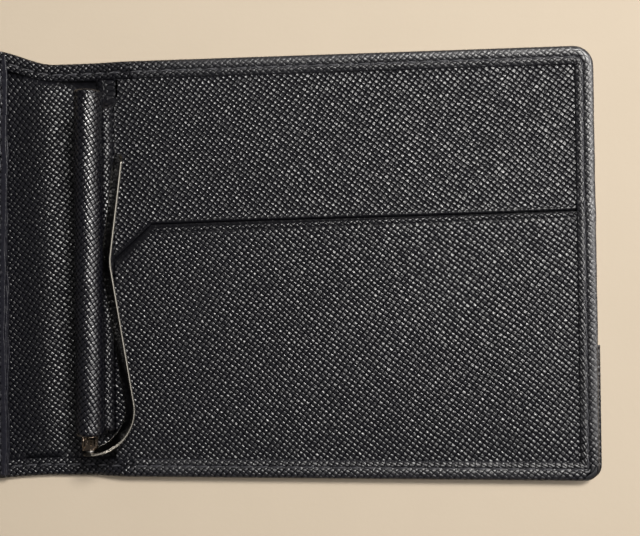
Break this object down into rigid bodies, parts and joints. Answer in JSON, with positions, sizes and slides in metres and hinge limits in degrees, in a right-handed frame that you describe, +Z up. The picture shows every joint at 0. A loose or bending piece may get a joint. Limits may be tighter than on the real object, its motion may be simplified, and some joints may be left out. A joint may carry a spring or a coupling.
{
  "type": "money clip wallet",
  "caption": "Slim open folding leather wallet with stepped card pockets on one half and a swivelling spring money clip in a leather roll on the other.",
  "frame": {"origin": "middle of the spine, midway between the two fold lines and the top and bottom edges, on the surface the open wallet lies on", "axes": "+X across the open wallet towards the half with the money clip, +Y along the fold towards the top edge, +Z up out of the inside faces"},
  "size_m": [0.2207, 0.085, 0.0121],
  "materials": {
    "shell_leather": "cross-grain embossed, satin",
    "inner_leather": "cross-grain embossed, satin",
    "board": "matt fibre board",
    "padding": "matt felt",
    "thread": "waxed thread",
    "rod_steel": "drawn",
    "ferrule_metal": "polished nickel",
    "spring_steel": "polished dark nickel"
  },
  "bodies": {
    "right_half": {"outer_shell_right": "shell_leather", "slip_pocket_front": "shell_leather", "right_padding": "padding", "right_stiffener": "board", "right_spine_lining": "inner_leather", "back_panel": "inner_leather", "pocket_front": "inner_leather", "clip_sleeve": "inner_leather", "right_border_thread": "thread"},
    "spine": {"spine_shell": "shell_leather", "spine_lining": "inner_leather"},
    "left_half": {"outer_shell_left": "shell_leather", "left_lining": "inner_leather", "left_stiffener": "board", "card_backing": "inner_leather", "card_slot_1": "inner_leather", "card_slot_2": "inner_leather", "card_slot_3": "inner_leather", "card_slot_4": "inner_leather", "left_border_thread": "thread", "card_stack_thread": "thread"},
    "money_clip": {"clip_rod": "rod_steel", "clip_ferrule": "ferrule_metal", "rod_retainer": "rod_steel", "clip_rivet": "ferrule_metal", "clip_base": "spring_steel"},
    "clip_spring": {"clip_arm": "spring_steel"}
  },
  "joints": [
    {"name": "fold_right", "type": "hinge", "parent": "right_half", "child": "spine", "pos_m": [0.00719, 0, 0.0011], "axis": [0, 1, 0], "range_deg": [0, 90], "deforming": ["spine_shell", "spine_lining"]},
    {"name": "fold_left", "type": "hinge", "parent": "spine", "child": "left_half", "pos_m": [-0.00719, 0, 0.0011], "axis": [0, 1, 0], "range_deg": [0, 90]},
    {"name": "clip_swivel", "type": "hinge", "parent": "right_half", "child": "money_clip", "pos_m": [0.01059, 0, 0.00911], "axis": [0, 1, 0], "range_deg": [-210, 0]},
    {"name": "clip_flex", "type": "hinge", "parent": "money_clip", "child": "clip_spring", "pos_m": [0.01538, -0.03394, 0.00612], "axis": [-0.5299, 0, -0.848], "range_deg": [0, 3], "stiffness_Nm_per_rad": 0.6}
  ],
  "couplings": [
    {"joint": "fold_left", "follows": "fold_right", "ratio": 1}
  ]
}
